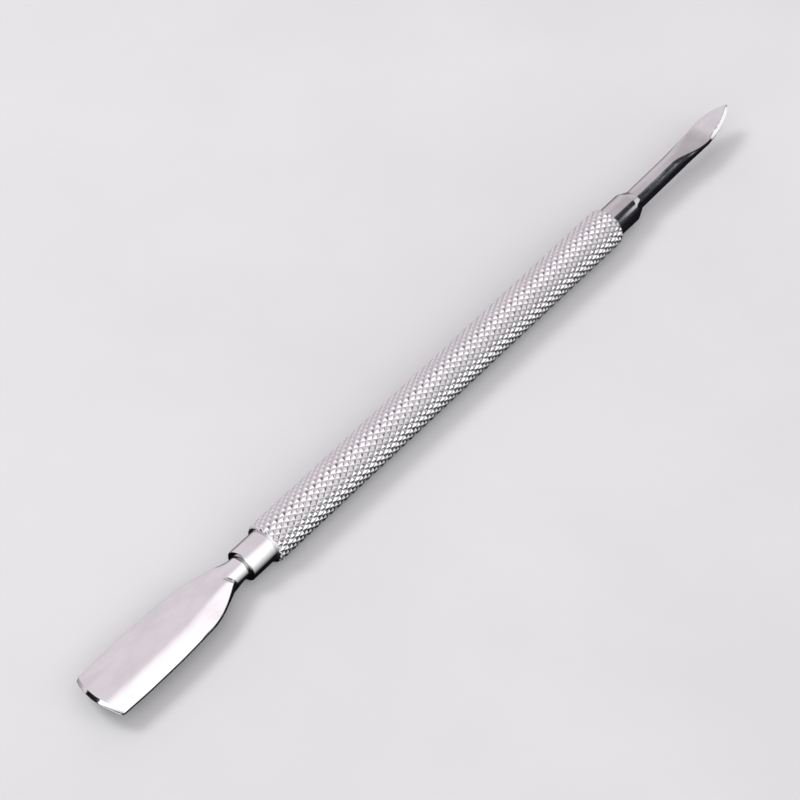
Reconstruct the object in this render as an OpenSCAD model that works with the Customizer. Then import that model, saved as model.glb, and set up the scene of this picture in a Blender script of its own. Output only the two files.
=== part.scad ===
// Double-ended cuticle pusher: a knurled steel tube with a bush pressed into each end,
// an arched pusher blade in one bush and a small leaf-shaped knife in the other.
// The long axis is X, with the knife towards +X, and the pusher's rounded back faces +Z.

/* [Grip] */
// Diameter over the crests of the knurl
grip_d = 6; // [5.6:0.1:7]
// Length of the knurled tube
grip_len = 73; // [60:1:90]
// Bore of the tube
grip_bore_d = 4; // [3.6:0.1:4.2]
// Chamfer at each end of the tube
grip_chamfer = 0.3; // [0.1:0.05:0.5]

/* [Collars] */
// Diameter of both polished collars
collar_d = 4.65; // [4.4:0.05:5]
// How far the collar on the pusher's side stands out of the tube
pusher_collar_len = 4.35; // [3:0.05:6]
// How far the straight part of the collar on the knife's side stands out of the tube
knife_collar_len = 4.7; // [3:0.05:6]
// Length of the cone that closes the knife's collar onto its stem
knife_cone_len = 1.45; // [1:0.05:3]
// How deep each bush is pressed into the tube
plug_len = 8; // [5:0.5:12]
// Edge rounding of the collars, as a chamfer
collar_chamfer = 0.12; // [0.05:0.01:0.2]

/* [Tangs] */
// Diameter of the round tang behind each blade
tang_d = 2.4; // [2:0.1:2.8]
// Length of the tang inside its bush
tang_len = 10; // [6:0.5:12]

/* [Pusher blade] */
// Diameter of the round neck at the root of the pusher
neck_d = 3.2; // [3:0.1:3.4]
// Gap between the collar's face and the neck
neck_gap = 0.35; // [0.1:0.05:0.6]
// Length from the neck's root to the middle of the working edge
pusher_len = 26.6; // [22:0.1:30]
// Width where the shoulders end
pusher_shoulder_w = 7.05; // [6:0.05:8]
// Greatest width of the blade
pusher_w = 8.2; // [7.2:0.05:9]
// Length over which the neck flares out to the shoulders
flare_len = 9.5; // [7:0.1:11]
// Thickness of the blade
pusher_t = 0.5; // [0.4:0.05:0.8]
// Height of the arch across the blade
arch_h = 1.3; // [0.8:0.05:1.5]
// How far the working edge bows forward
edge_bow = 1.25; // [0.5:0.05:1.6]
// Length of the ground bevel at the working edge
bevel_len = 0.42; // [0.2:0.02:0.6]
// How far the bevel takes the top down at the working edge
bevel_drop = 0.38; // [0.2:0.02:0.4]

/* [Knife blade] */
// Diameter of the round stem
stem_d = 3.12; // [3:0.02:3.4]
// How steeply the stem rises, as height over length
stem_slope = 0.03; // [0.02:0.002:0.06]
// Distance from the collar's cone to the pointed tip
knife_len = 23.35; // [20:0.05:26]
// Greatest width of the leaf
leaf_w = 3.76; // [3.4:0.02:4.4]
// Length of the pointed part, from the greatest width to the tip
point_len = 6.4; // [4.5:0.1:7]
// Thickness of the leaf where it leaves the stem
leaf_t = 0.95; // [0.6:0.05:1.2]
// Thickness of the leaf at its tip
leaf_tip_t = 0.45; // [0.3:0.05:0.6]
// Height of the leaf's flat over the grip's axis
leaf_z = 1.4; // [1.3:0.05:1.6]
// Slope of the leaf's outer part, which lifts towards the tip
lift_slope = 0.095; // [0:0.005:0.15]

/* [Hidden] */
$fn = 96;
grip_end = grip_len / 2;
bore_r = grip_bore_d / 2;
collar_r = collar_d / 2;
tang_r = tang_d / 2;
mouth_chamfer = 0.1;      // small chamfer in the pusher collar's face, around the tang
neck_x = -grip_end - pusher_collar_len - neck_gap;
cone_x = grip_end + knife_collar_len + knife_cone_len;
tip_x = cone_x + knife_len;
widest_x = tip_x - point_len;
neck_r = neck_d / 2;
crown_drop = 0.1;         // how much lower the top of the pusher is at its working edge,
crown_drop_from = 8;      // starting this far from the neck's root
fold_start = 0.1;         // the plate is level in the middle and folds down at its sides, from
fold_end = 0.68;          // fold_start to fold_end, as shares of its half-width
flare_power = 1.7;        // higher for a flare that starts more slowly
// Distances along the pusher, counted from the neck's root
full_width_from = 2;      // the shoulders widen to the full width between these
full_width_to = 18;
wane_len = 5.5;           // and over this length before the working edge
wane = 0.12;              // each side draws in by this much
wing_to = 3;              // the top turns from round to folded before this
keel_from = 2;            // the underside turns from round to folded between these
keel_to = 8.5;
squared_from = 0.5;       // and is squared off before that, between these
squared_to = 2.8;
stem_r = stem_d / 2;
bend_x = grip_end + 1.1;  // the stem bends up from here, inside the collar
stem_len = 8.5;           // round part of the stem that shows, before it is forged flat
forge_x = cone_x + stem_len;
forge_len = 7;            // length over which the stem turns into the leaf
squaring_len = 6;         // length over which its corners sharpen
flat_power = 0.3;         // corner sharpness of a forged section; 1 is round
swell_len = 5;            // length over which the leaf widens
point_curve = 1.8;        // higher for a leaf that keeps its width for longer
point_power = 0.75;       // higher for a sharper tip
thinning_x = tip_x - 8;   // the leaf thins towards its tip from here
lift_x = tip_x - 9.2;     // the leaf lifts from here,
lift_bend = 3.5;          // bending over this length
cone_end_r = stem_r + stem_slope * (cone_x - bend_x) + 0.02;
ring_points = 36;
overlap = 0.5;            // how far a tang runs into its blade

function share(a, b, x) = min(max((x - a) / (b - a), 0), 1);
function smooth(a, b, x) = let (t = share(a, b, x)) t * t * (3 - 2 * t);
function mix(a, b, t) = a + (b - a) * t;
function power(v, p) = sign(v) * pow(abs(v), p);

// One closed section of the knife: half-width w, half-thickness t and middle at height z.
// Corners follow p.
function section(x, w, t, z, p) = [
    for (i = [0 : ring_points - 1])
        let (angle = 360 * i / ring_points, c = power(cos(angle), p), s = power(sin(angle), p))
        [x, w * c, z + t * s]
];

// Closed skin over a list of sections that run towards +X.
module loft(sections) {
    n = ring_points;
    last = len(sections) - 1;
    polyhedron(
        points = [for (ring = sections) each ring],
        faces = concat(
            [[for (i = [0 : n - 1]) i]],
            [for (k = [0 : last - 1], i = [0 : n - 1])
                let (j = (i + 1) % n) [k * n + i, (k + 1) * n + i, (k + 1) * n + j]],
            [for (k = [0 : last - 1], i = [0 : n - 1])
                let (j = (i + 1) % n) [k * n + i, (k + 1) * n + j, k * n + j]],
            [[for (i = [n - 1 : -1 : 0]) last * n + i]]
        ),
        convexity = 4
    );
}

// Turned profile about the X axis: points are [distance along X, radius].
module turned(profile) {
    rotate([0, 90, 0]) rotate_extrude() polygon([for (p = profile) [p[1], p[0]]]);
}

module along_x(x, length, radius) {
    translate([x, 0, 0]) rotate([0, 90, 0]) cylinder(h = length, r = radius);
}

// Half-width of the pusher at a distance u from its root.
function pusher_half_w(u) =
    neck_r
    + (pusher_shoulder_w / 2 - neck_r) * pow(sin(90 * share(0, flare_len, u)), flare_power)
    + (pusher_w - pusher_shoulder_w) / 2 * smooth(full_width_from, full_width_to, u)
    - wane * smooth(pusher_len - wane_len, pusher_len, u);

// How far the plate has folded down at c, from 0 in its middle to 1 at its sides.
function fold(c) =
    let (t = share(fold_start, fold_end, c))
    ((fold_end - fold_start) * (pow(t, 3) - pow(t, 4) / 2) + max(c - fold_end, 0))
        / (1 - (fold_start + fold_end) / 2);

// One closed section of the pusher: the round neck's outline turning into the folded plate's.
function pusher_section(u, top_cut = 0) =
    let (
        w = pusher_half_w(u),
        crown = neck_r - crown_drop * smooth(crown_drop_from, pusher_len, u),
        winged = smooth(0, wing_to, u),
        keeled = smooth(keel_from, keel_to, u),
        p = mix(1, 0.5, smooth(squared_from, squared_to, u))
    )
    [
        for (i = [0 : ring_points - 1])
            let (
                angle = 360 * i / ring_points,
                c = cos(angle),
                s = abs(sin(angle)),
                sag = arch_h * w / (pusher_w / 2) * fold(abs(c)),
                squared = pow(max(1 - pow(abs(c), 2 / p), 0), p / 2),
                top = crown + mix(neck_r * (s - 1), -sag, winged) - top_cut,
                bottom = crown + mix(-neck_r * (1 + squared), -sag - pusher_t, keeled),
                z = s < 0.001 ? (top + bottom) / 2 : angle < 180 ? top : bottom
            )
            [neck_x - u + edge_bow * u / pusher_len * c * c, w * c, z]
    ];

function knife_half_w(x) =
    x < widest_x
        ? mix(stem_r, leaf_w / 2, smooth(widest_x - swell_len, widest_x, x))
        : leaf_w / 2 * pow(1 - pow((x - widest_x) / point_len, point_curve), point_power);

function knife_section(x) =
    let (
        stem_top = stem_r + stem_slope * (min(x, forge_x) - bend_x),
        forged = smooth(forge_x, forge_x + forge_len, x),
        t = mix(mix(stem_d, leaf_t, forged), leaf_tip_t, smooth(thinning_x, tip_x, x)) / 2,
        past = max(x - lift_x, 0),
        lift = past < lift_bend ? past * past / (2 * lift_bend) : past - lift_bend / 2,
        top = mix(stem_top, leaf_z, forged) + lift_slope * lift,
        p = mix(1, flat_power, smooth(forge_x, forge_x + squaring_len, x))
    )
    section(x, knife_half_w(x), t, top - t, p);

module grip_tube() {
    color("silver")
    difference() {
        turned([
            [-grip_end, 0],
            [-grip_end, grip_d / 2 - grip_chamfer],
            [-grip_end + grip_chamfer, grip_d / 2],
            [grip_end - grip_chamfer, grip_d / 2],
            [grip_end, grip_d / 2 - grip_chamfer],
            [grip_end, 0]
        ]);
        along_x(-grip_end - 1, grip_len + 2, bore_r);
    }
}

module pusher_collar() {
    face = -grip_end - pusher_collar_len;
    color("gainsboro")
    turned([
        [face, tang_r + mouth_chamfer],
        [face, collar_r - collar_chamfer],
        [face + collar_chamfer, collar_r],
        [-grip_end, collar_r],
        [-grip_end, bore_r],
        [-grip_end + plug_len, bore_r],
        [-grip_end + plug_len, tang_r],
        [face + mouth_chamfer, tang_r]
    ]);
}

module knife_collar() {
    shoulder = grip_end + knife_collar_len;
    color("gainsboro")
    turned([
        [grip_end - plug_len, tang_r],
        [grip_end - plug_len, bore_r],
        [grip_end, bore_r],
        [grip_end, collar_r],
        [shoulder - collar_chamfer, collar_r],
        [shoulder + collar_chamfer, collar_r - collar_chamfer],
        [cone_x, cone_end_r],
        [cone_x, tang_r]
    ]);
}

module pusher_blade() {
    rings = 26;
    // the sections are closest together where the neck flares
    stations = [for (i = [rings : -1 : 0]) (pusher_len - bevel_len) * pow(i / rings, 1.4)];
    color("lightgray")
    union() {
        loft(concat(
            [pusher_section(pusher_len, bevel_drop)],
            [for (u = stations) pusher_section(u)]
        ));
        along_x(neck_x - overlap, overlap + neck_gap + tang_len, tang_r);
    }
}

module knife_blade() {
    rings = 26;
    first_x = forge_x - 1;
    last_x = tip_x - 0.02;
    color("lightgray")
    union() {
        loft(concat(
            [knife_section(cone_x)],
            [for (i = [0 : rings]) knife_section(mix(first_x, last_x, i / rings))]
        ));
        along_x(cone_x - tang_len, tang_len + overlap, tang_r);
    }
}

grip_tube();
pusher_collar();
pusher_blade();
knife_collar();
knife_blade();
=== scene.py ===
import math
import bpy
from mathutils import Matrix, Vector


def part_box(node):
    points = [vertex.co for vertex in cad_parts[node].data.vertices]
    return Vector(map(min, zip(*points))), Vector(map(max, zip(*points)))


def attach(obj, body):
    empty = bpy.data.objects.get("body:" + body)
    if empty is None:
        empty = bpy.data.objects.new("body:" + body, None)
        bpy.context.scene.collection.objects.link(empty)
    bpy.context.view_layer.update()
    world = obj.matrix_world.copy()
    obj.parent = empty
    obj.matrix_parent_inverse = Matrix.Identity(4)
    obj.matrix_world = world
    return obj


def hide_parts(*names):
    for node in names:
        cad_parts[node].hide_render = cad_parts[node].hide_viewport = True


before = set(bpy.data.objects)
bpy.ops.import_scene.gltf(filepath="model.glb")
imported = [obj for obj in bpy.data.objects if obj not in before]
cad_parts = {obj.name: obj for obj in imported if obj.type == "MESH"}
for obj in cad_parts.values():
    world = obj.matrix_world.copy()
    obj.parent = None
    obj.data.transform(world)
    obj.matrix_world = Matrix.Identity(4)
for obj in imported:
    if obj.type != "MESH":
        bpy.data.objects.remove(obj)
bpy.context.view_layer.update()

from types import SimpleNamespace

import bmesh
import bpy
from mathutils import Matrix, Vector

# Every size below is in millimetres, in the frame of the CAD model: the tool lies along X with the
# knife towards +X and the pusher's rounded back up. MM turns a size into the scene's metres.
MM = 0.001


def cad_mm(node):
    """Lowest and highest corner of a CAD node, in millimetres."""
    low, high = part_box(node)
    return [v / MM for v in low], [v / MM for v in high]


grip_low, grip_high = cad_mm("grip_tube")
pusher_low, pusher_high = cad_mm("pusher_blade")
_, knife_high = cad_mm("knife_blade")
pusher_bush_low, pusher_bush_high = cad_mm("pusher_collar")
_, knife_bush_high = cad_mm("knife_collar")

# Grip
GRIP_END = grip_high[0]
GRIP_R = grip_high[1]
BORE_R = 2.0
BORE_CHAMFER = 0.12
GRIP_CHAMFER = 0.3

# Diamond knurl: two families of V grooves, each winding the other way round
KNURL_PITCH = 1.46        # along the grip, from one diamond to the next in line
KNURL_STARTS = 20         # diamonds around the grip
KNURL_DEPTH = 0.2
KNURL_STEPS = 8           # mesh steps to a diamond, each way

# Collars
COLLAR_R = pusher_bush_high[1]
COLLAR_FACE = pusher_bush_low[0]
KNIFE_CONE_END = knife_bush_high[0]
KNIFE_CONE_LEN = 1.45
EDGE_R = 0.13             # rounding of the pusher collar's edge
SHOULDER_R = 0.2          # rounding between the knife collar's straight part and its cone
SHOULDER_SHIFT = 0.05     # how far that rounding starts before the cone
LIP_R = 0.06              # rounding at the cone's end
CONE_GAP = 0.02           # play between the cone's end and the stem
PLUG_LEN = 8.0
PLUG_CHAMFER = 0.2
MOUTH = 0.1               # small chamfer around the pusher's tang,
MOUTH_R = 0.05            # and its rounding
PRESS = 0.01              # play drawn between pressed surfaces, so that they don't coincide

# Pusher blade
TANG_R = 1.2
TANG_LEN = 10.0
TANG_CHAMFER = 0.15
TANG_OVERLAP = 0.5        # how far a tang runs into its blade
NECK_R = 1.6
NECK_GAP = 0.35           # between the collar's face and the neck
NECK_RIM_R = 0.18         # rounding of the neck's end
NECK_X = COLLAR_FACE - NECK_GAP
PUSHER_LEN = NECK_X - pusher_low[0]
PUSHER_HALF_W = pusher_high[1]
FLARE_LEN = 9.5
# The blade was ground by hand, and its two sides differ: 1 is the +Y side and -1 the -Y side.
SHOULDER_HALF_W = {1: 3.475, -1: 3.575}   # where the flare ends
FLARE_FROM = {1: 0.0, -1: 2.7}            # distance from the root where it starts
FLARE_POWER = {1: 1.8, -1: 1.0}           # higher for a flare that starts more slowly
FULL_WIDTH_AT = {1: 20.0, -1: 17.0}       # distance from the root
WING_FROM = {1: (0.0, 0.0), -1: (3.3, 2.2)}   # in the middle and at the side, the top turns from round
WING_LEN = {1: 3.0, -1: 0.6}              # to folded from WING_FROM on, over WING_LEN
KEEL = (2.0, 8.5)         # the underside turns from round to folded between these
SQUARED = (0.5, 2.8)      # and is squared off before that, between these
WANE = 0.12               # each side draws in by WANE
WANE_LEN = 5.5            # over this length before the working edge
CORNER_R = {1: 0.1, -1: 0.45}             # rounding of the working edge's two corners
PLATE_T = 0.5
ARCH_H = 1.3
CROWN_DROP = 0.1          # how much lower the top is at the working edge,
CROWN_DROP_FROM = 8.0     # starting this far from the root
FOLD_START = 0.1          # the plate is level in the middle and folds down at its sides, from
FOLD_END = 0.68           # FOLD_START to FOLD_END, as shares of its half-width
FOLD_SPAN = 2.1           # half-width that counts for the -Y fold near the neck
FOLD_SPREADS = (3.5, 11.5)    # it grows to the true half-width between these
EDGE_BOW = 1.25
BEVEL_LEN = 0.42
BEVEL_DROP = 0.38
SIDE_R = 0.1              # rounding of the plate's long edges

# Knife blade
STEM_R = 1.56
STEM_SLOPE = 0.03
BEND_X = GRIP_END + 1.1
STEM_LEN = 8.5
FORGE_X = KNIFE_CONE_END + STEM_LEN
FORGE_LEN = 7.0
SQUARING_LEN = 6.0        # length over which the stem's corners sharpen
KNIFE_TIP = knife_high[0]
WIDEST_X = {1: KNIFE_TIP - 5.4, -1: KNIFE_TIP - 7.4}     # on the leaf's +Y and -Y sides
LEAF_HALF_W = {1: 1.88, -1: 1.86}
SWELL_LEN = 5.0           # length over which the leaf widens
POINT_CURVE = 1.8         # higher for a leaf that keeps its width for longer
POINT_POWER = 0.75        # higher for a sharper tip
THINNING_X = KNIFE_TIP - 8.0
LEAF_T = 0.95
LEAF_TIP_T = 0.45
LEAF_Z = 1.4
LIFT_X = KNIFE_TIP - 9.2  # from here the leaf lifts,
LIFT_BEND = 3.5           # bending over this length
LIFT_SLOPE = 0.095        # to this slope
LEAF_SWAY = 0.2           # how far the tip leans sideways
GROUND_W = {1: 0.25, -1: 0.45}        # width of the knife's ground edges, on its +Y and -Y sides
GROUND_FROM = {1: KNIFE_TIP - 9.5, -1: KNIFE_TIP - 6.85}
GROUND_TO = {1: KNIFE_TIP - 3.5, -1: KNIFE_TIP - 6.65}
GROUND_DROP = 0.45        # how far a ground edge goes down
EDGE_T = 0.06             # least thickness left there
FLAT_POWER = 0.3          # corner sharpness of a forged section; 1 is round


# ---------------------------------------------------------------- small maths

def share(a, b, x):
    return min(max((x - a) / (b - a), 0.0), 1.0)


def smooth(a, b, x):
    t = share(a, b, x)
    return t * t * (3 - 2 * t)


def mix(a, b, t):
    return a + (b - a) * t


def ramp(values, t):
    """Value at t, from 0 to 1, of evenly spaced values joined by straight lines."""
    place = min(max(t, 0.0), 1.0) * (len(values) - 1)
    i = min(int(place), len(values) - 2)
    return mix(values[i], values[i + 1], place - i)


def spread(start, end, count):
    return [mix(start, end, i / count) for i in range(count + 1)]


# ---------------------------------------------------------------- mesh helpers

def make_piece(name, points, faces, material, smooth_angle):
    """A mesh object from points in millimetres. Edges sharper than smooth_angle stay crisp."""
    mesh = bpy.data.meshes.new(name)
    mesh.from_pydata([(x * MM, y * MM, z * MM) for x, y, z in points], [], faces)
    mesh.validate()
    fix = bmesh.new()
    fix.from_mesh(mesh)
    bmesh.ops.recalc_face_normals(fix, faces=fix.faces)
    fix.to_mesh(mesh)
    fix.free()
    mesh.materials.append(material)
    mesh.polygons.foreach_set("use_smooth", [True] * len(mesh.polygons))
    mesh.set_sharp_from_angle(angle=math.radians(smooth_angle))
    piece = bpy.data.objects.new(name, mesh)
    bpy.context.scene.collection.objects.link(piece)
    return piece


def skin(rings, first):
    """Quads between closed rings of points, all of one count. first is the first point's index."""
    n = len(rings[0])
    faces = []
    for k in range(len(rings) - 1):
        for i in range(n):
            j = (i + 1) % n
            a, b = first + k * n, first + (k + 1) * n
            faces.append((a + i, b + i, b + j, a + j))
    return faces


def lathe_rings(profile, segments):
    """Rings about the X axis from a profile of (x, radius)."""
    rings = []
    for x, r in profile:
        ring = []
        for i in range(segments):
            a = 2 * math.pi * i / segments
            ring.append((x, r * math.cos(a), r * math.sin(a)))
        rings.append(ring)
    return rings


def arc(cx, cr, radius, start, end, steps=6):
    """Profile points on an arc, with angles in degrees from +X towards a larger radius."""
    angles = [math.radians(a) for a in spread(start, end, steps)]
    return [(cx + radius * math.cos(a), cr + radius * math.sin(a)) for a in angles]


def turned(name, profile, material, segments=160):
    """A turned ring: the closed profile of (x, radius) swept about the X axis."""
    rings = lathe_rings(profile, segments)
    points = [p for ring in rings for p in ring]
    # the last band of faces ends on the first ring again
    faces = [tuple(i % len(points) for i in face) for face in skin(rings + [rings[0]], 0)]
    return make_piece(name, points, faces, material, smooth_angle=28)


def loft(rings):
    """Points and faces of a skin over rings, closed at both ends."""
    points = [p for ring in rings for p in ring]
    faces = skin(rings, 0)
    n = len(rings[0])
    faces.append(tuple(reversed(range(n))))
    faces.append(tuple(range((len(rings) - 1) * n, len(rings) * n)))
    return points, faces


# ---------------------------------------------------------------- materials

def new_material(name):
    material = bpy.data.materials.new(name)
    material.use_nodes = True
    nodes = material.node_tree.nodes
    return material, material.node_tree, nodes["Principled BSDF"]


def add(tree, kind, **settings):
    node = tree.nodes.new(kind)
    for key, value in settings.items():
        setattr(node, key, value)
    return node


def math_node(tree, operation, a, b=None):
    node = add(tree, "ShaderNodeMath", operation=operation)
    for i, value in enumerate((a, b)):
        if value is None:
            continue
        if isinstance(value, (int, float)):
            node.inputs[i].default_value = value
        else:
            tree.links.new(value, node.inputs[i])
    return node.outputs[0]


def map_range(tree, value, low, high, to_low=0.0, to_high=1.0, kind="SMOOTHSTEP"):
    """A number as value runs from low to high: to_low before low and to_high after high."""
    node = add(tree, "ShaderNodeMapRange", interpolation_type=kind)
    tree.links.new(value, node.inputs["Value"])
    for key, number in (("From Min", low), ("From Max", high), ("To Min", to_low), ("To Max", to_high)):
        node.inputs[key].default_value = number
    return node.outputs["Result"]


def stretched_noise(tree, coords, stretch, scale, detail=3.0, roughness=0.5):
    """Noise in object space, with features longer along an axis where stretch is smaller."""
    mapping = add(tree, "ShaderNodeMapping")
    mapping.inputs["Scale"].default_value = stretch
    tree.links.new(coords, mapping.inputs["Vector"])
    noise = add(tree, "ShaderNodeTexNoise")
    noise.inputs["Scale"].default_value = scale
    noise.inputs["Detail"].default_value = detail
    noise.inputs["Roughness"].default_value = roughness
    tree.links.new(mapping.outputs["Vector"], noise.inputs["Vector"])
    return noise.outputs["Fac"]


def colour_mix(tree, factor, a, b):
    node = add(tree, "ShaderNodeMix", data_type="RGBA")
    tree.links.new(factor, node.inputs["Factor"])
    for socket, value in ((node.inputs[6], a), (node.inputs[7], b)):
        if isinstance(value, tuple):
            socket.default_value = (*value, 1.0)
        else:
            tree.links.new(value, socket)
    return node.outputs[2]


def bump(tree, height, distance, normal=None):
    node = add(tree, "ShaderNodeBump")
    node.inputs["Strength"].default_value = 1.0
    node.inputs["Distance"].default_value = distance
    tree.links.new(height, node.inputs["Height"])
    if normal is not None:
        tree.links.new(normal, node.inputs["Normal"])
    return node.outputs["Normal"]


PER_MM = 1 / MM           # noise scale for one feature to a millimetre
POLISH_LIGHT = (0.875, 0.868, 0.872)
POLISH_DARK = (0.80, 0.79, 0.797)
KNURL_LIGHT = (0.93, 0.922, 0.928)
KNURL_DARK = (0.86, 0.85, 0.857)
# painted shade: the colour that the knurl's groove bottoms darken to
PAINTED_GROOVE_SHADE = (0.78, 0.77, 0.78)
BOARD_LIGHT = (0.66, 0.665, 0.67)
BOARD_DARK = (0.63, 0.635, 0.64)
WAVE_HEIGHT = 0.012       # in millimetres, of the slow waves in polished steel
MARK_HEIGHT = 0.0006      # of its fine marks
GRAIN_HEIGHT = 0.0015     # of the knurl's grain


def polished_steel(name, waves, ring_marks=False):
    """Plated steel buffed by hand: slow waves, fine marks along or around it, and faint cloudiness."""
    material, tree, shader = new_material(name)
    coords = add(tree, "ShaderNodeTexCoord").outputs["Object"]
    clouds = stretched_noise(tree, coords, (0.5, 1.0, 1.0), 0.35 * PER_MM, 4.0, 0.6)
    marks_stretch = (1.0, 0.08, 0.08) if ring_marks else (0.05, 1.0, 1.0)
    marks = stretched_noise(tree, coords, marks_stretch, 9.0 * PER_MM, 3.0, 0.6)
    colour = colour_mix(tree, map_range(tree, clouds, 0.35, 0.65), POLISH_DARK, POLISH_LIGHT)
    tree.links.new(colour, shader.inputs["Base Color"])
    shader.inputs["Metallic"].default_value = 1.0
    haze = map_range(tree, clouds, 0.3, 0.7, 0.075, 0.12)
    grain = map_range(tree, marks, 0.35, 0.7, 0.0, 0.045)
    tree.links.new(math_node(tree, "ADD", haze, grain), shader.inputs["Roughness"])
    slow = bump(tree, clouds, waves * WAVE_HEIGHT * MM)
    tree.links.new(bump(tree, marks, MARK_HEIGHT * MM, slow), shader.inputs["Normal"])
    return material


def knurled_steel(name):
    """Plated steel over the knurl: crests worn bright, flanks satin, and groove bottoms darkened by
    painted shade in the base colour.
    """
    material, tree, shader = new_material(name)
    coords = add(tree, "ShaderNodeTexCoord").outputs["Object"]
    split = add(tree, "ShaderNodeSeparateXYZ")
    tree.links.new(coords, split.inputs[0])
    squares = [math_node(tree, "MULTIPLY", split.outputs[i], split.outputs[i]) for i in (1, 2)]
    radius = math_node(tree, "SQRT", math_node(tree, "ADD", squares[0], squares[1]))
    height = map_range(tree, radius, (GRIP_R - KNURL_DEPTH) * MM, GRIP_R * MM, kind="LINEAR")
    clouds = stretched_noise(tree, coords, (0.6, 1.0, 1.0), 0.5 * PER_MM, 4.0, 0.6)
    grain = stretched_noise(tree, coords, (1.0, 1.0, 1.0), 14.0 * PER_MM, 3.0, 0.6)
    base = colour_mix(tree, map_range(tree, clouds, 0.35, 0.65), KNURL_DARK, KNURL_LIGHT)
    # painted shade: the base colour darkens towards the bottoms of the grooves
    colour = colour_mix(tree, map_range(tree, height, 0.0, 0.45), PAINTED_GROOVE_SHADE, base)
    tree.links.new(colour, shader.inputs["Base Color"])
    shader.inputs["Metallic"].default_value = 1.0
    worn = map_range(tree, height, 0.3, 0.97, 0.22, 0.12)
    speckle = map_range(tree, grain, 0.35, 0.7, 0.0, 0.06)
    tree.links.new(math_node(tree, "ADD", worn, speckle), shader.inputs["Roughness"])
    tree.links.new(bump(tree, grain, GRAIN_HEIGHT * MM), shader.inputs["Normal"])
    return material


def floor_material():
    """Plain pale matt board with a barely visible mottle."""
    material, tree, shader = new_material("pale_board")
    coords = add(tree, "ShaderNodeTexCoord").outputs["Object"]
    mottle = stretched_noise(tree, coords, (1.0, 1.0, 1.0), 0.02 * PER_MM, 4.0, 0.6)
    colour = colour_mix(tree, map_range(tree, mottle, 0.3, 0.7), BOARD_DARK, BOARD_LIGHT)
    tree.links.new(colour, shader.inputs["Base Color"])
    shader.inputs["Roughness"].default_value = 0.8
    shader.inputs["Specular IOR Level"].default_value = 0.15
    return material


# ---------------------------------------------------------------- knurled grip

GROOVE_PROFILE = (-1.0, -0.93, -0.50, -0.07, 0.0)    # from a groove's bottom to the crest beside it
GROOVE_LINES = (0.0, 0.11, 0.48, 0.85, 1.0)          # where mesh lines lie on the way


def groove_level(t):
    """Height at t, which counts grooves, as a share of the knurl's depth: -1 at whole numbers."""
    return ramp(GROOVE_PROFILE, abs(t - round(t)) * 2)


def groove_warp(t):
    """Moves evenly spaced mesh lines to GROOVE_LINES. Whole and half numbers stay."""
    whole = math.floor(t)
    part = t - whole
    moved = ramp(GROOVE_LINES, min(part, 1 - part) * 2) / 2
    return whole + (moved if part <= 0.5 else 1 - moved)


def knurled_grip(material):
    rows = round(2 * GRIP_END / KNURL_PITCH * KNURL_STEPS)
    columns = KNURL_STARTS * KNURL_STEPS
    end_r = GRIP_R - GRIP_CHAMFER
    turn = 2 * math.pi / KNURL_STARTS
    points = []
    for row in range(rows + 1):
        for column in range(columns):
            right = groove_warp((row + column) / KNURL_STEPS)
            left = groove_warp((row - column) / KNURL_STEPS)
            x = -GRIP_END + (right + left) / 2 * KNURL_PITCH
            angle = (right - left) / 2 * turn
            depth = -KNURL_DEPTH * min(groove_level(right), groove_level(left))
            edge = GRIP_END - abs(x)
            r = min(GRIP_R - depth, end_r + edge)
            points.append((x, r * math.cos(angle), r * math.sin(angle)))
    faces = []
    for row in range(rows):
        for column in range(columns):
            after = (column + 1) % columns
            a, b = row * columns + column, row * columns + after
            c, d = (row + 1) * columns + after, (row + 1) * columns + column
            right = (row + column + 1) / KNURL_STEPS
            left = (row - column) / KNURL_STEPS
            # the split follows the groove that shapes this square
            if abs(right - round(right)) < abs(left - round(left)):
                faces += [(a, b, d), (b, c, d)]
            else:
                faces += [(a, b, c), (a, c, d)]
    # end faces, a small countersink and the bore
    bore = [
        (GRIP_END, BORE_R + BORE_CHAMFER),
        (GRIP_END - BORE_CHAMFER, BORE_R),
        (-GRIP_END + BORE_CHAMFER, BORE_R),
        (-GRIP_END, BORE_R + BORE_CHAMFER),
    ]
    rings = lathe_rings(bore, columns)
    first = len(points)
    points += [p for ring in rings for p in ring]
    faces += skin(rings, first)
    last = rows * columns
    low = first + (len(bore) - 1) * columns
    for i in range(columns):
        j = (i + 1) % columns
        faces.append((last + i, first + i, first + j, last + j))
        faces.append((low + i, i, j, low + j))
    return make_piece("knurled_grip", points, faces, material, smooth_angle=24)


# ---------------------------------------------------------------- collars

def pusher_collar(material):
    face = COLLAR_FACE
    bore = TANG_R + PRESS
    plug = BORE_R - PRESS
    plug_end = -GRIP_END + PLUG_LEN
    profile = arc(face + EDGE_R, COLLAR_R - EDGE_R, EDGE_R, 90, 180)
    profile += arc(face + MOUTH_R, bore + MOUTH + MOUTH_R, MOUTH_R, 180, 225, 3)
    profile += [
        (face + MOUTH, bore),
        (plug_end, bore),
        (plug_end, plug - PLUG_CHAMFER),
        (plug_end - PLUG_CHAMFER, plug),
        (-GRIP_END - PRESS, plug),
        (-GRIP_END - PRESS, COLLAR_R),
    ]
    return turned("pusher_bush", profile, material)


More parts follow.
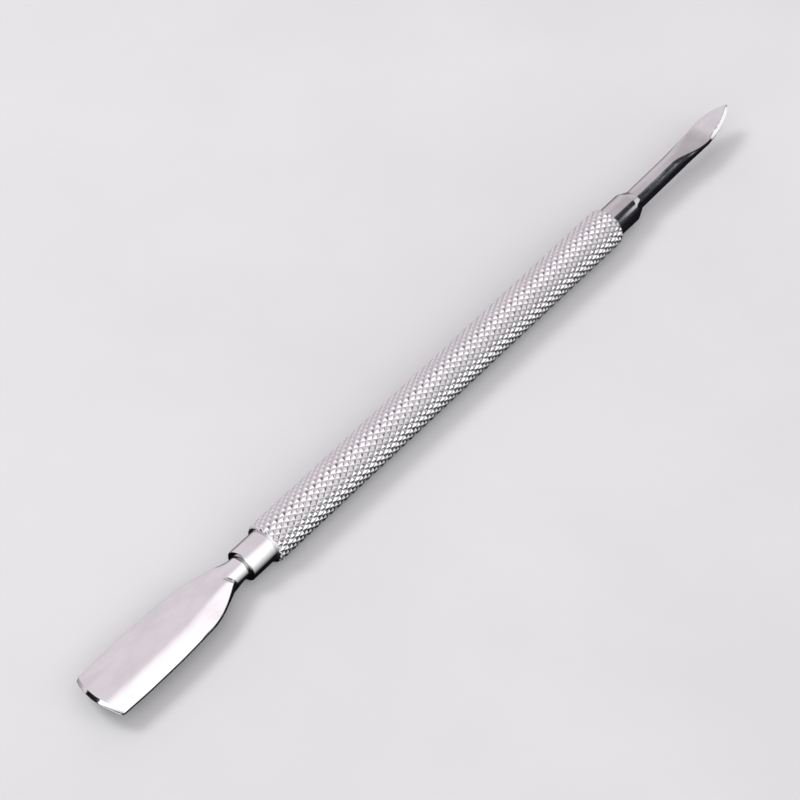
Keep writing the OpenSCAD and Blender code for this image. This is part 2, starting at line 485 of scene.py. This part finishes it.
def knife_collar(material):
    shoulder = KNIFE_CONE_END - KNIFE_CONE_LEN
    bore = TANG_R + PRESS
    plug = BORE_R - PRESS
    plug_end = GRIP_END - PLUG_LEN
    cone_end_r = STEM_R + STEM_SLOPE * (KNIFE_CONE_END - BEND_X) + CONE_GAP
    # direction that the cone's face looks in, in degrees from +X
    lean = math.degrees(math.atan2(KNIFE_CONE_LEN, COLLAR_R - cone_end_r))
    profile = [(GRIP_END + PRESS, COLLAR_R)]
    profile += arc(shoulder - SHOULDER_SHIFT, COLLAR_R - SHOULDER_R, SHOULDER_R, 90, lean, 5)
    profile += arc(KNIFE_CONE_END - LIP_R, cone_end_r - LIP_R, LIP_R, lean, 0, 4)
    profile += [
        (KNIFE_CONE_END, bore),
        (plug_end, bore),
        (plug_end, plug - PLUG_CHAMFER),
        (plug_end + PLUG_CHAMFER, plug),
        (GRIP_END + PRESS, plug),
    ]
    return turned("knife_bush", profile, material)


# ---------------------------------------------------------------- blades

RING_HALF = 60            # steps across the top of a blade's section, and as many below
TANG_SEGMENTS = 64


def add_tang(points, faces, start, end):
    """Adds a round tang from start to end, closed at both ends."""
    step = math.copysign(TANG_CHAMFER, end - start)
    profile = [(start, TANG_R), (end - step, TANG_R), (end, TANG_R - TANG_CHAMFER)]
    rings = lathe_rings(profile, TANG_SEGMENTS)
    first = len(points)
    points += [p for ring in rings for p in ring]
    faces += skin(rings, first)
    faces.append(tuple(range(first, first + TANG_SEGMENTS)))
    faces.append(tuple(range(first + 2 * TANG_SEGMENTS, first + 3 * TANG_SEGMENTS)))


def fold(c):
    """How far the pusher's plate has folded down at c, from 0 in its middle to 1 at its sides."""
    t = min(max((c - FOLD_START) / (FOLD_END - FOLD_START), 0.0), 1.0)
    bent = (FOLD_END - FOLD_START) * (t ** 3 - t ** 4 / 2) + max(c - FOLD_END, 0.0)
    return bent / (1 - (FOLD_START + FOLD_END) / 2)


def pusher_half_width(u, hand):
    """Half-width of the pusher at u from its root, on the +Y side (hand 1) or the -Y side (-1)."""
    shoulder = SHOULDER_HALF_W[hand]
    corner = CORNER_R[hand]
    flared = share(FLARE_FROM[hand], FLARE_LEN, u)
    w = NECK_R + (shoulder - NECK_R) * math.sin(math.pi / 2 * flared) ** FLARE_POWER[hand]
    w += (PUSHER_HALF_W - shoulder) * smooth(2, FULL_WIDTH_AT[hand], u)
    w -= WANE * smooth(PUSHER_LEN - WANE_LEN, PUSHER_LEN, u)
    into = max(u - (PUSHER_LEN - corner), 0) / corner
    return w - corner * (1 - math.sqrt(max(1 - into * into, 0)))


def pusher_ring(u):
    """The neck's round outline turning into the folded plate's, at u from the root."""
    keeled = smooth(*KEEL, u)
    squared = mix(1, 0.5, smooth(*SQUARED, u))
    crown = NECK_R - CROWN_DROP * smooth(CROWN_DROP_FROM, PUSHER_LEN, u)
    cut = max(u - (PUSHER_LEN - BEVEL_LEN), 0) / BEVEL_LEN * BEVEL_DROP
    halves = {hand: pusher_half_width(u, hand) for hand in (1, -1)}
    # the -Y fold starts out parallel to the tool and only then spreads with the blade
    spans = {1: halves[1], -1: mix(FOLD_SPAN, halves[-1], share(*FOLD_SPREADS, u))}
    ring = []
    for side in (1, -1):
        for i in range(RING_HALF):
            angle = math.pi * i / RING_HALF
            c = math.cos(angle) * side
            hand = 1 if c > 0 else -1
            half = halves[hand]
            into = max(abs(c) * half - (half - SIDE_R), 0) / SIDE_R
            edge = max(1 - into ** 3, 0) ** (1 / 3)
            sag = ARCH_H * spans[hand] / PUSHER_HALF_W * fold(abs(c) * half / spans[hand])
            folded = crown - sag + PLATE_T / 2 * (side * edge - 1)
            if side > 0:
                start = mix(*WING_FROM[hand], abs(c))
                winged = smooth(start, start + WING_LEN[hand], u)
                z = mix(crown - NECK_R + NECK_R * math.sin(angle), folded, winged) - cut
            else:
                round_z = crown - NECK_R - NECK_R * (1 - abs(c) ** (2 / squared)) ** (squared / 2)
                z = mix(round_z, folded, keeled)
            ring.append((NECK_X - u + EDGE_BOW * u / PUSHER_LEN * c * c, half * c, z))
    return ring


def pusher_blade(material):
    # stations are closest together in the flare and in the corners of the working edge
    flare_end = 10.0
    corner_from = 0.5
    bevel_start = PUSHER_LEN - BEVEL_LEN
    stations = [flare_end * i / 90 for i in range(90)]
    stations += spread(flare_end, PUSHER_LEN - 0.6, 50)
    stations += [bevel_start - 0.01, bevel_start]
    stations += [PUSHER_LEN - corner_from * (1 - math.sin(math.pi / 2 * i / 20)) for i in range(21)]
    stations.sort()
    rings = [pusher_ring(u) for u in stations]
    # the neck's end turns in to the tang
    lead = []
    for k in range(4):
        a = math.pi / 2 * k / 4
        shrink = 1 - NECK_RIM_R * (1 - math.sin(a)) / NECK_R
        x = NECK_X + NECK_RIM_R * math.cos(a)
        lead.append([(x, y * shrink, z * shrink) for _, y, z in rings[0]])
    points, faces = loft(lead + rings)
    add_tang(points, faces, NECK_X - TANG_OVERLAP, NECK_X + NECK_GAP + TANG_LEN)
    return make_piece("pusher", points, faces, material, smooth_angle=30)


def knife_half_width(x, hand):
    """Half-width of the knife at x, on the +Y side (hand 1) or the -Y side (-1)."""
    widest, greatest = WIDEST_X[hand], LEAF_HALF_W[hand]
    if x < widest:
        return mix(STEM_R, greatest, smooth(widest - SWELL_LEN, widest, x))
    return greatest * (1 - share(widest, KNIFE_TIP, x) ** POINT_CURVE) ** POINT_POWER


def knife_ring(x):
    """The round stem's outline turning into the leaf's, with its edges ground from above."""
    stem_top = STEM_R + STEM_SLOPE * (min(x, FORGE_X) - BEND_X)
    forged = smooth(FORGE_X, FORGE_X + FORGE_LEN, x)
    t = mix(mix(2 * STEM_R, LEAF_T, forged), LEAF_TIP_T, smooth(THINNING_X, KNIFE_TIP, x)) / 2
    past = max(x - LIFT_X, 0)
    lift = past * past / (2 * LIFT_BEND) if past < LIFT_BEND else past - LIFT_BEND / 2
    top = mix(stem_top, LEAF_Z, forged) + LIFT_SLOPE * lift
    sway = LEAF_SWAY * (past / (KNIFE_TIP - LIFT_X)) ** 2
    power = mix(1, FLAT_POWER, smooth(FORGE_X, FORGE_X + SQUARING_LEN, x))
    drop = min(GROUND_DROP, 2 * t - EDGE_T)
    ring = []
    for side in (1, -1):
        for i in range(RING_HALF):
            c = math.cos(math.pi * i / RING_HALF) * side
            z = top - t + t * side * (1 - abs(c) ** (2 / power)) ** (power / 2)
            hand = 1 if c > 0 else -1
            w = knife_half_width(x, hand)
            ground = smooth(GROUND_FROM[hand], GROUND_TO[hand], x)
            width = GROUND_W[hand] * max(ground, 0.01)
            into = max(w * abs(c) - (w - width), 0) / width
            ring.append((x, w * c + sway, min(z, top - into * ground * drop)))
    return ring


def knife_blade(material):
    # stations are closest together where the -Y ground edge starts and at the tip
    flat_from = FORGE_X - 1
    ground_x = GROUND_FROM[-1]
    after_x = ground_x + 0.25
    last_x = KNIFE_TIP - 0.004
    stations = spread(KNIFE_CONE_END, flat_from, 16)
    stations += spread(flat_from, ground_x - 0.02, 60)[1:]
    stations += spread(ground_x, GROUND_TO[-1], 6)
    stations += [mix(after_x, last_x, math.sin(math.pi / 2 * i / 70)) for i in range(71)]
    points, faces = loft([knife_ring(x) for x in stations])
    add_tang(points, faces, KNIFE_CONE_END + TANG_OVERLAP, KNIFE_CONE_END - TANG_LEN)
    return make_piece("knife", points, faces, material, smooth_angle=30)


# ---------------------------------------------------------------- stage, light and camera

FLOOR_HALF = 6.0          # half the floor's side, in metres


def add_floor():
    """The floor touches the grip. The steel doesn't reflect it: the studio world is what it shows."""
    mesh = bpy.data.meshes.new("floor")
    z = grip_low[2] * MM
    near, far = -FLOOR_HALF, FLOOR_HALF
    corners = [(near, near, z), (far, near, z), (far, far, z), (near, far, z)]
    mesh.from_pydata(corners, [], [(0, 1, 2, 3)])
    mesh.materials.append(floor_material())
    floor = bpy.data.objects.new("floor", mesh)
    bpy.context.scene.collection.objects.link(floor)
    floor.visible_glossy = False


CEILING = 0.78            # radiance of the studio's ceiling
SOFTBOX = 1.55            # of the brightest part of its softbox
STRIP = (1.15, 0.75)      # of the small softbox, from its -Y end to its +Y end
GLOW = 0.09               # of the glow beside that
ROOM = (0.010, 0.032)     # and of the dark room, below and above
WHITE = (1.0, 1.0, 1.0)
MAUVE = (1.0, 0.93, 0.985)
NAVY = (0.88, 0.88, 1.15)
BACKDROP = (0.72, 0.72, 0.73)    # what the camera sees past the floor


def degrees_range(tree, angle, low, high, to_low=0.0, to_high=1.0, kind="SMOOTHSTEP"):
    return map_range(tree, angle, math.radians(low), math.radians(high), to_low, to_high, kind)


def product(tree, *factors):
    result = factors[0]
    for factor in factors[1:]:
        result = math_node(tree, "MULTIPLY", result, factor)
    return result


def studio_directions(tree):
    """The direction of a ray, in the forms that the studio's lights are placed by."""
    direction = add(tree, "ShaderNodeTexCoord").outputs["Generated"]
    split = add(tree, "ShaderNodeSeparateXYZ")
    tree.links.new(direction, split.inputs[0])
    dx, dy, dz = split.outputs
    # angle about the X axis: 0 at the -Y horizon, 90 degrees overhead, 180 at the +Y horizon
    around = math_node(tree, "ARCTAN2", dz, product(tree, dy, -1.0))
    turned_by = math_node(tree, "ABSOLUTE", around)
    # the edge between ceiling and softbox runs aslant towards -X
    slant = product(tree, math_node(tree, "MINIMUM", dx, 0.0), 0.75)
    height = math_node(tree, "ADD", turned_by, slant)
    return SimpleNamespace(
        direction=direction, dx=dx, dy=dy, dz=dz, around=around, turned_by=turned_by, height=height
    )


def towards(tree, at, target):
    """Cosine of the angle between the ray and target."""
    dot = add(tree, "ShaderNodeVectorMath", operation="DOT_PRODUCT")
    tree.links.new(at.direction, dot.inputs[0])
    dot.inputs[1].default_value = Vector(target).normalized()
    return dot.outputs["Value"]


def ceiling_level(tree, at):
    """Ceiling over the tool. It fades out below the +Y horizon and is dimmer towards +X."""
    over = degrees_range(tree, at.height, 73.5, 76)
    above = map_range(tree, at.dz, -0.01, 0.01)
    below = degrees_range(tree, at.turned_by, 135, 180, kind="LINEAR")
    dimmer = degrees_range(tree, at.turned_by, 115, 155, 0.27, 0.15)
    dimmer = product(tree, dimmer, map_range(tree, at.dx, 0.42, 0.60))
    level = math_node(tree, "SUBTRACT", CEILING, dimmer)
    return product(tree, over, math_node(tree, "MAXIMUM", above, below), level)


def softbox_level(tree, at):
    """Softbox on the -Y side: brightest half-way up, as bright as the ceiling where they meet."""
    upper = degrees_range(tree, at.height, 50, 88, SOFTBOX, CEILING, kind="LINEAR")
    lower = degrees_range(tree, at.around, -45, 36, 0.0, SOFTBOX, kind="LINEAR")
    # it ends towards +X, and sooner low down than overhead
    sooner = degrees_range(tree, at.around, 50, 60, 0.065, 0.0)
    inside = map_range(tree, math_node(tree, "ADD", at.dx, sooner), 0.515, 0.54, 1.0, 0.0)
    return product(tree, math_node(tree, "MINIMUM", upper, lower), inside)


def gap_share(tree, at):
    """Dark gap low down towards -X: 1 inside it and 0 elsewhere."""
    azimuth = math_node(tree, "ARCTAN2", at.dy, product(tree, at.dx, -1.0))
    return product(
        tree,
        degrees_range(tree, azimuth, 8, 10),
        degrees_range(tree, azimuth, 49, 53, 1.0, 0.0),
        map_range(tree, at.dz, 0.56, 0.66, 1.0, 0.0),
    )


def strip_level(tree, at):
    """Small softbox towards +X: a narrow band at right angles to one direction."""
    off_band = math_node(tree, "ABSOLUTE", towards(tree, at, (0.047, 0.52, 0.853)))
    return product(
        tree,
        map_range(tree, off_band, 0.12, 0.18, 1.0, 0.0),
        map_range(tree, at.dx, 0.60, 0.64),
        map_range(tree, at.dy, -0.02, 0.06, 1.0, 0.0),
        map_range(tree, at.dy, -0.45, -0.15, *STRIP),
    )


def glow_level(tree, at):
    """Faint round glow towards +X and -Y."""
    edge, core = math.cos(math.radians(12)), math.cos(math.radians(3))
    return product(tree, map_range(tree, towards(tree, at, (0.68, -0.70, 0.2)), edge, core), GLOW)


def room_level(tree, at):
    """The dark of the room, darkest below and towards -X."""
    height = map_range(tree, at.dz, -0.25, 0.10, *ROOM)
    return product(tree, height, map_range(tree, at.dx, 0.3, 0.5, 0.35, 1.0))


def studio_world():
    """The studio around the tool: a mauve-grey ceiling, a white softbox along the -Y side, a smaller one
    towards +X, and dark elsewhere. It is painted by direction, so it is the same from every view."""
    world = bpy.data.worlds.new("studio")
    world.use_nodes = True
    tree = world.node_tree
    tree.nodes.clear()
    at = studio_directions(tree)
    level = math_node(tree, "MAXIMUM", ceiling_level(tree, at), softbox_level(tree, at))
    level = product(tree, level, math_node(tree, "SUBTRACT", 1.0, gap_share(tree, at)))
    for light in (strip_level, glow_level, room_level):
        level = math_node(tree, "MAXIMUM", level, light(tree, at))
    tint = colour_mix(tree, degrees_range(tree, at.height, 35, 80), WHITE, MAUVE)
    tint = colour_mix(tree, map_range(tree, level, 0.03, 0.25), NAVY, tint)

    studio = add(tree, "ShaderNodeBackground")
    tree.links.new(tint, studio.inputs["Color"])
    tree.links.new(level, studio.inputs["Strength"])
    seen = add(tree, "ShaderNodeBackground")
    seen.inputs["Color"].default_value = (*BACKDROP, 1.0)
    path = add(tree, "ShaderNodeLightPath")
    choose = add(tree, "ShaderNodeMixShader")
    tree.links.new(path.outputs["Is Camera Ray"], choose.inputs[0])
    tree.links.new(studio.outputs[0], choose.inputs[1])
    tree.links.new(seen.outputs[0], choose.inputs[2])
    out = add(tree, "ShaderNodeOutputWorld")
    tree.links.new(choose.outputs[0], out.inputs["Surface"])
    bpy.context.scene.world = world


def aim(obj, target):
    back = obj.location - Vector(target)
    obj.rotation_euler = back.to_track_quat("Z", "Y").to_euler()


def add_softbox(name, place, size, power):
    """A soft light for the floor and the tool's shadow. The steel doesn't reflect it."""
    data = bpy.data.lights.new(name, "AREA")
    data.shape = "DISK"
    data.size = size
    data.energy = power
    light = bpy.data.objects.new(name, data)
    light.location = place
    aim(light, (0, 0, 0))
    light.visible_glossy = False
    light.visible_camera = False
    bpy.context.scene.collection.objects.link(light)


def add_camera():
    """From the -X, -Y side, looking down at about 50 degrees, 35 cm from the grip's middle."""
    azimuth, elevation = math.radians(50.36), math.radians(49.90)
    place = Vector((-177.4, -139.2, 263.0)) * MM
    right = Vector((math.cos(azimuth), -math.sin(azimuth), 0))
    forward = Vector((math.sin(azimuth) * math.cos(elevation), math.cos(azimuth) * math.cos(elevation),
                      -math.sin(elevation)))
    up = right.cross(forward)
    data = bpy.data.cameras.new("camera")
    data.sensor_width = 36.0
    data.lens = 116.06
    data.clip_start, data.clip_end = 0.01, 20.0
    camera = bpy.data.objects.new("camera", data)
    turn = Matrix((right, up, -forward)).transposed()
    camera.matrix_world = Matrix.Translation(place) @ turn.to_4x4()
    bpy.context.scene.collection.objects.link(camera)
    bpy.context.scene.camera = camera


knurled = knurled_steel("knurled_steel")
collar_steel = polished_steel("collar_steel", 0.35, ring_marks=True)
blade_steel = polished_steel("blade_steel", 0.8)

for build, material, node, slot in (
    (knurled_grip, knurled, "grip_tube", "knurled_steel"),
    (pusher_collar, collar_steel, "pusher_collar", "collar_steel"),
    (knife_collar, collar_steel, "knife_collar", "collar_steel"),
    (pusher_blade, blade_steel, "pusher_blade", "blade_steel"),
    (knife_blade, blade_steel, "knife_blade", "blade_steel"),
):
    piece = build(material)
    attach(piece, "root")
    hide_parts(node)

add_floor()
studio_world()
add_softbox("key_light", place=(-0.25, 0.45, 0.75), size=0.35, power=3.0)
add_camera()
bpy.context.scene.view_settings.view_transform = "Standard"
